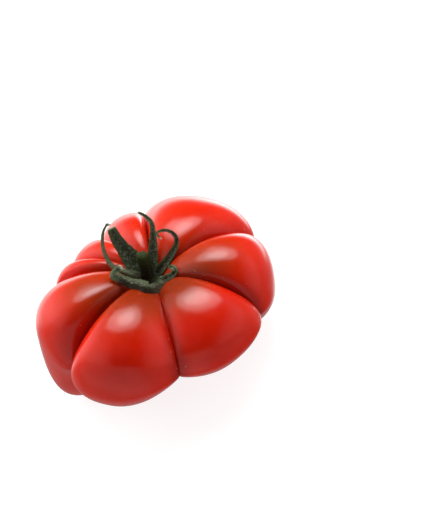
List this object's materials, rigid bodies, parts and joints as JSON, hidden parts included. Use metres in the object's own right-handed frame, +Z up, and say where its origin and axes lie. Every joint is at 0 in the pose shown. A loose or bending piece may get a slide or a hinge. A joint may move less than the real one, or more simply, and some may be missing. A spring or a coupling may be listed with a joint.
{
  "type": "tomato",
  "caption": "Whole ribbed beefsteak tomato with swollen lobes round a sunken stem end, a green calyx of curled sepals and a short cut stalk, resting on small flats under its lobes.",
  "frame": {"origin": "on the table, under the middle of the part's box", "axes": "+Z up from the table towards the stem end, +X to the right and +Y away from the camera in the picture's view"},
  "size_m": [0.1002, 0.0992, 0.0647],
  "materials": {
    "skin": "smooth waxy skin",
    "green": "dull, finely wrinkled and hairy"
  },
  "bodies": {
    "root": {"fruit": "skin", "calyx": "green"}
  },
  "joints": []
}
